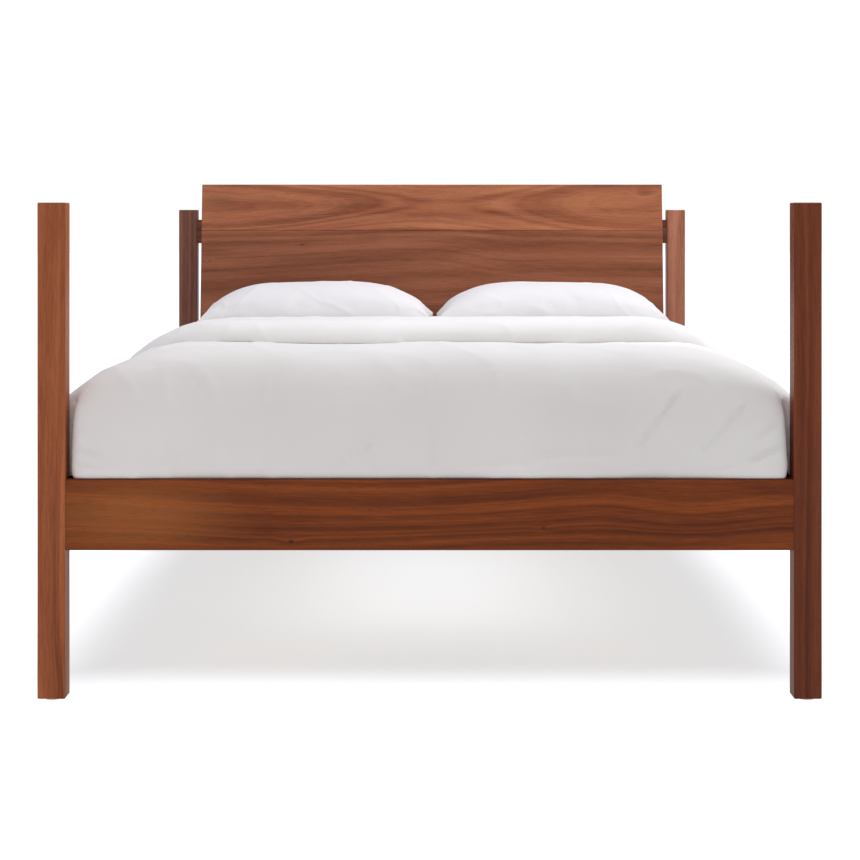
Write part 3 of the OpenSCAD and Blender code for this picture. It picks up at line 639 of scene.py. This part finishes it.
def make_fitted_sheet():
    low, high = np.array(sheet_low), np.array(sheet_high)
    middle, size = (low + high) / 2, high - low
    bpy.ops.object.select_all(action="DESELECT")
    bpy.ops.mesh.primitive_grid_add(x_subdivisions=90, y_subdivisions=120, size=2,
                                    location=(middle[0], middle[1], high[2]))
    piece = bpy.context.object
    piece.name = "fitted_sheet_cloth"
    bpy.ops.object.transform_apply(location=True, rotation=False, scale=True)
    # The flat cloth is folded down over the four sides
    p = get_points(piece)
    drop = size[2]
    u = (p[:, 0] - middle[0]) * (size[0] / 2 + drop)
    v = (p[:, 1] - middle[1]) * (size[1] / 2 + drop)
    x = np.clip(u, -size[0] / 2, size[0] / 2)
    y = np.clip(v, -size[1] / 2, size[1] / 2)
    down = np.maximum(np.abs(u) - size[0] / 2, 0)
    down = np.maximum(down, np.maximum(np.abs(v) - size[1] / 2, 0))
    z = high[2] - down
    # Upright corners are rounded like the mattress
    r = CORNER_R
    dx, dy = size[0] / 2 - r, size[1] / 2 - r
    cx, cy = np.maximum(np.abs(x) - dx, 0), np.maximum(np.abs(y) - dy, 0)
    far = np.hypot(cx, cy)
    pull = np.where(far > r, r / np.maximum(far, 1e-9), 1)
    x = np.sign(x) * (np.minimum(np.abs(x), dx) + cx * pull)
    y = np.sign(y) * (np.minimum(np.abs(y), dy) + cy * pull)
    # A gathered hem ripples a little
    edge = ease(down, 0.19, drop)
    ripple = 0.0035 * edge * np.sin((x + y) * 60) * np.sin((x - y) * 23 + 1)
    x += np.sign(x) * ripple * (np.abs(x) > dx)
    y += np.sign(y) * ripple * (np.abs(y) > dy)
    # The cloth turns over the mattress's top edge in a curve
    turn = 0.026
    cx, cy = np.maximum(np.abs(x) - dx, 0), np.maximum(np.abs(y) - dy, 0)
    out = np.hypot(cx, cy)
    e, ez = np.maximum(out - (r - turn), 0), np.maximum(z - (high[2] - turn), 0)
    pull = turn / np.maximum(np.hypot(e, ez), turn)
    shift = e * (pull - 1) / np.maximum(out, 1e-9)
    x += np.sign(x) * cx * shift
    y += np.sign(y) * cy * shift
    z += ez * (pull - 1)
    set_points(piece, np.stack([middle[0] + x, middle[1] + y, z], axis=1))
    solid = piece.modifiers.new("cloth_thickness", "SOLIDIFY")
    solid.thickness = 0.0012
    solid.offset = 0
    apply_all(piece)
    for polygon in piece.data.polygons:
        polygon.use_smooth = True
    piece.data.materials.append(cotton("white_cotton_fitted_sheet", "#EEEEEF", "#E7E7E9",
                                       crease_mm=110, crease=0.3, seed=2.0))
    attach(piece, "mattress")
    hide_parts("fitted_sheet")


make_fitted_sheet()


# ---- Duvet ----

duvet_low, duvet_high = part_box("duvet")
hem_z = duvet_low[2]
half_out = duvet_high[0]
head_y = duvet_high[1]
rail_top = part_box("side_rail_right")[1][2]
post_low, post_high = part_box("foot_post_right")
duvet_cotton = cotton("white_cotton_duvet_cover", "#EFEEED", "#E9E8E6",
                      crease_mm=95, crease=0.34, seed=0.4)
# Height where the hanging sides start to curve in, and the duvet's own thickness there
SHOULDER_Z = 0.502
THICK = 0.040
# The spaces that the grids of the duvet and of its folded-back end cover, and their steps
DUVET_SPACE = (-0.92, -1.14, 0.30), (0.92, 0.46, 0.80), 0.0156
TURNBACK_SPACE = (-0.92, -0.24, 0.30), (0.92, 0.46, 0.80), 0.0145


def duvet_outside(x, y, z):
    """Depth inside the duvet's outer surface, without its folded-back end."""
    # roll is the fuller foot end, back the flatter part under the folded-back end
    roll = ease(-y, 0.62, 0.92)
    back = ease(y, -0.30, -0.10)
    top = 0.718 + 0.041 * roll - 0.006 * back
    top = top + 0.0035 * np.sin(5.1 * x + 2.3 * y) * np.sin(3.7 * y + 0.8) + 0.002 * np.sin(11 * x + 1.1)
    half = half_out - 0.012 * back
    low = ease(0.62 - z, 0.0, 0.28)
    # The hanging sides wave in and out, 0.31 m and 0.17 m from wave to wave
    wave = 0.006 * np.sin(2 * np.pi * y / 0.31 + 0.7 * np.sign(x))
    wave = wave + 0.004 * np.sin(2 * np.pi * y / 0.17 + 2.0 * np.sign(x))
    half = half + low * wave
    reach = 0.226 + 0.200 * roll
    side = arch(x, z, half, reach, SHOULDER_Z, top, 2.04)
    # Roll over the foot rail
    front = 1.1025 + 0.002 * np.sin(7 * x + 0.6) - 0.002 * np.cos(13 * x)
    foot = arch(np.maximum(-y - front + 0.21, 0), z, 0.21, 0.21, 0.545, top + 0.004, 2.5)
    return bigger(side, foot, 0.05)


def duvet_room(x, y, z):
    """Depth inside what the duvet lies on and goes round: mattress, rails, posts."""
    bed = bigger(np.maximum(np.abs(x) - 0.766, foot_y - 0.003 - y), z - top_z - 0.002, 0.05)
    drape = np.maximum(arch(x, z, half_out - THICK, 0.200, SHOULDER_Z, top_z), -1.028 - y)
    seat = rail_top + 0.005 - 0.022 * ease(-y, 1.02, 1.06)
    rails = np.maximum(np.abs(x) - (half_out - THICK), z - seat)
    posts = smaller(np.abs(x) - (post_low[0] - 0.005), post_high[1] + 0.008 - y, 0.02)
    return np.minimum(np.minimum(bed, drape), np.minimum(rails, -posts))


def duvet_body(x, y, z):
    """The duvet from the foot to where the folded-back end takes over."""
    depth = bigger(duvet_outside(x, y, z), -duvet_room(x, y, z), 0.018)
    depth = bigger(depth, hem_z + 0.004 - z, 0.03)
    return bigger(depth, y + 0.105, 0.02)


def turnback_body(x, y, z):
    """The folded-back end: a thick lap over the duvet that ends at head_y."""
    bulge = 0.004 * np.sin(4.3 * x + 1.0) + 0.003 * np.sin(9.1 * x)
    top = 0.761 + 0.003 * np.sin(3.1 * x + 4 * y) - 0.017 * ease(y, -0.05, 0.34)
    wave = ease(0.60 - z, 0.0, 0.25) * 0.005 * np.sin(2 * np.pi * y / 0.27 + 1.4 * np.sign(x))
    outer = arch(x, z, half_out + 0.008 + wave, 0.312, 0.500, top)
    depth = bigger(outer, -0.172 + bulge - y, 0.075)
    depth = bigger(depth, y - head_y, 0.07)
    depth = bigger(depth, hem_z + 0.018 - z, 0.03)
    under = bigger(duvet_outside(x, y, z), y + 0.100 + 0.090 * ease(np.abs(x), 0.52, 0.80), 0.02)
    depth = bigger(depth, -under, 0.008)
    return bigger(depth, -duvet_room(x, y, z), 0.012)


def finish_soft(piece, body, replaced):
    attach(piece, body)
    if replaced:
        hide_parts(replaced)


def crease(points, across, up, folds, depth, width):
    """Soft pinched folds along lines drawn on a face: how far each point rises."""
    rise = np.zeros(len(points))
    for a0, b0, a1, b1, strength in folds:
        run = np.array([a1 - a0, b1 - b0])
        here = np.stack([points[:, across] - a0, points[:, up] - b0], axis=1)
        share = np.clip(here @ run / (run @ run), 0, 1)
        side = here @ np.array([-run[1], run[0]]) / np.linalg.norm(run)
        far = np.hypot(*(here - share[:, None] * run).T)
        rise += strength * depth * np.exp(-(far / width) ** 2) * np.where(side > 0, 1.0, -0.35)
    return rise


def make_duvet():
    points, faces = skin_of(duvet_body, *DUVET_SPACE)
    piece = soft_piece("duvet_cover", points, faces, duvet_cotton)
    smooth_out(piece, 4)
    puff(piece, frames=14, cap=0.005)
    smooth_out(piece, 1)
    subdivide(piece)
    wrinkle(piece, 0.17, 0.0022, 0.3)
    p = get_points(piece)
    # Folds pressed into the foot end, as x and z of both ends and a strength: slanting ones on the
    # right, low ones, two faint uprights, and short ones at both corners
    face = ease(-p[:, 1], 1.00, 1.07) * ease(p[:, 2], 0.478, 0.50)
    folds = ((0.451, 0.546, 0.533, 0.654, 1.0), (0.589, 0.537, 0.670, 0.624, 1.0),
             (0.102, 0.492, 0.261, 0.516, 0.8), (0.261, 0.516, 0.384, 0.520, 0.7),
             (-0.208, 0.499, -0.126, 0.546, 0.8), (-0.347, 0.495, -0.345, 0.680, 0.35),
             (0.004, 0.495, 0.006, 0.680, 0.35), (-0.745, 0.492, -0.690, 0.484, 1.0),
             (-0.752, 0.560, -0.715, 0.545, 0.9), (-0.750, 0.520, -0.712, 0.512, 0.9),
             (0.748, 0.545, 0.700, 0.520, 0.9), (0.750, 0.600, 0.716, 0.570, 0.8),
             (-0.560, 0.500, -0.470, 0.530, 0.5), (0.640, 0.500, 0.560, 0.486, 0.6))
    p[:, 1] -= face * crease(p, 0, 2, folds, 0.0045, 0.015)
    # Its sides draw in behind the foot posts
    reach = 0.860 + 0.2 * np.maximum(p[:, 1] + 1.0, -0.04)
    p[:, 0] = np.clip(p[:, 0], -reach, reach)
    # It rests on top of the foot rail
    seat = rail_top + 0.0008
    p[:, 2] = np.where((p[:, 1] < -1.066) & (p[:, 2] < seat), seat, p[:, 2])
    set_points(piece, p)
    finish_soft(piece, "duvet", "duvet")
    points, faces = skin_of(turnback_body, *TURNBACK_SPACE)
    piece = soft_piece("duvet_turnback", points, faces, duvet_cotton)
    smooth_out(piece, 4)
    puff(piece, frames=14, cap=0.005)
    smooth_out(piece, 1)
    subdivide(piece)
    wrinkle(piece, 0.15, 0.0020, 4.1)
    # A groove round its open end, where the folded cover's two layers meet
    p = get_points(piece)
    layer = duvet_outside(p[:, 0], np.full(len(p), 0.2), p[:, 2])
    p[:, 1] -= 0.016 * np.exp(-(layer / 0.009) ** 2) * ease(p[:, 1], head_y - 0.045, head_y - 0.01)
    set_points(piece, p)
    finish_soft(piece, "duvet", None)


make_duvet()


# ---- Pillows ----

def make_pillow(name, side, left, right, low_end, seed):
    """A filled case with a seam all round: two domes that meet at the seam and sag on to the bed.
    side is the side of the bed, low_end how much lower the outer end is."""
    box_low, box_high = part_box("pillow_right" if side > 0 else "pillow_left")
    nx, ny = 84, 60
    # Rows lie closer together towards the seam
    u = np.sin(np.linspace(-1, 1, nx + 1) * math.pi / 2 * 0.92) / math.sin(math.pi / 2 * 0.92)
    v = np.sin(np.linspace(-1, 1, ny + 1) * math.pi / 2 * 0.92) / math.sin(math.pi / 2 * 0.92)
    seam_z, crown, sag = 0.7225, 0.112, 0.075
    points, faces, number = [], [], {}
    for level in (1, -1):
        for j in range(ny + 1):
            for i in range(nx + 1):
                rim = i in (0, nx) or j in (0, ny)
                if rim and level < 0:
                    number[level, i, j] = number[1, i, j]
                    continue
                number[level, i, j] = len(points)
                a, b = u[i], v[j]
                outermost = max(abs(a), abs(b))
                dome = max(1 - abs(a) ** 3.7, 0) ** 0.58 * max(1 - abs(b) ** 2.7, 0) ** 0.52
                # Gathers along the seam, and slow hollows in the filling
                edge = math.exp(-(1 - outermost) / 0.10) * (1 - outermost ** 8)
                pull = math.sin(a * 21 + b * 17 + seed) * math.sin(a * 8.7 - b * 11 + 2 * seed)
                hollow = math.sin(3.1 * a + seed) * math.sin(2.7 * b + 1.3 * seed)
                height = dome * (1 - low_end * max(a * side, 0)) * (1 + 0.022 * hollow)
                height += 0.045 * edge * pull
                # The sides pull in between the corners
                x = (left + right) / 2 + (right - left) / 2 * a * (1 - 0.022 * (1 - b * b))
                # and the case narrows a little at its open end, towards the foot
                x -= side * max(a * side, 0) * 0.024 * (1 - b) / 2
                y = (box_low[1] + box_high[1]) / 2 + 0.249 * b * (1 - 0.030 * (1 - a * a))
                sunk_side = 0.012 * math.exp(-((abs(a) - 1) / 0.3) ** 2) * (1 - b * b)
                droop = 0.010 * (abs(a) * abs(b)) ** 6 - sunk_side
                z = seam_z + droop + (crown * height if level > 0 else -sag * dome ** 0.7)
                points.append((x, y, z))
    for level in (1, -1):
        for j in range(ny):
            for i in range(nx):
                quad = [number[level, i + di, j + dj] for di, dj in ((0, 0), (1, 0), (1, 1), (0, 1))]
                faces.append(quad if level > 0 else quad[::-1])
    piece = soft_piece(name, points, faces, pillow_cotton)
    puff(piece, frames=16, cap=0.006, bend=0.8)
    smooth_out(piece, 1)
    subdivide(piece)
    wrinkle(piece, 0.12, 0.0020, seed)
    p = get_points(piece)
    # Flat where it lies on the bed, a hair above the sheet
    p[:, 2] = np.maximum(p[:, 2], top_z + 0.0018)
    set_points(piece, p)
    node = "pillow_right" if side > 0 else "pillow_left"
    finish_soft(piece, node, node)


pillow_cotton = cotton("white_cotton_pillow_case", "#E7E5E6", "#E1DFE0",
                       crease_mm=80, crease=0.32, seed=1.1)
make_pillow("pillow_case_left", -1, -0.733, 0.008, 0.0, 1.0)
make_pillow("pillow_case_right", 1, 0.008, 0.745, 0.05, 2.2)
